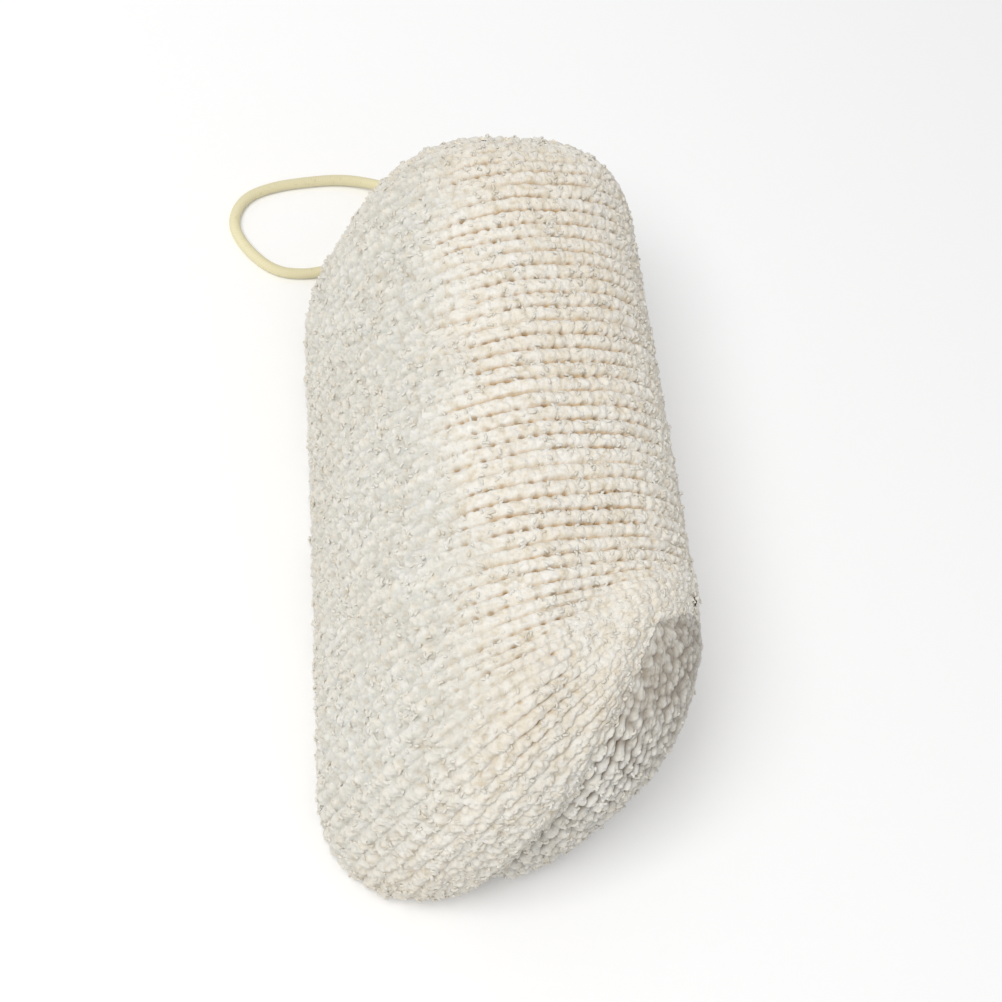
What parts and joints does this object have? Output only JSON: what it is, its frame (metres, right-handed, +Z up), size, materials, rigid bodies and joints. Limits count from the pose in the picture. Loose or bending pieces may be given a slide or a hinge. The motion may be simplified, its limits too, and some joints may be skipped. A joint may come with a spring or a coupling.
{
  "type": "loofah scrubbing pad",
  "caption": "Hand-held scrubbing pad: a loofah core in a closed knitted boucle cover with a cord loop to hang it by.",
  "frame": {"origin": "centre of the pad's footprint, on the surface that it rests on", "axes": "+Z up, +Y along the pad towards the end with the hanging loop, +X towards the gusset's side"},
  "size_m": [0.0698, 0.1608, 0.0678],
  "materials": {
    "boucle_knit": "nubby cream cotton boucle, matte",
    "sewing_thread": "matte cotton thread",
    "loofah_fibre": "dry tan plant fibre, matte",
    "loop_cord": "pale yellow-olive waxed cotton cord, slight sheen"
  },
  "bodies": {
    "pad": {"cover_sleeve": "boucle_knit", "near_gusset": "boucle_knit", "far_panel": "boucle_knit", "near_seam_thread": "sewing_thread", "far_seam_thread": "sewing_thread", "loofah_core": "loofah_fibre", "loop_knot": "loop_cord", "loop_tack_thread": "sewing_thread"},
    "loop": {"hang_loop": "loop_cord"}
  },
  "joints": [
    {"name": "hang_loop_swing", "type": "hinge", "parent": "pad", "child": "loop", "pos_m": [0.006, 0.0717, 0.01], "axis": [0, 0, -1], "range_deg": [0, 75]}
  ]
}
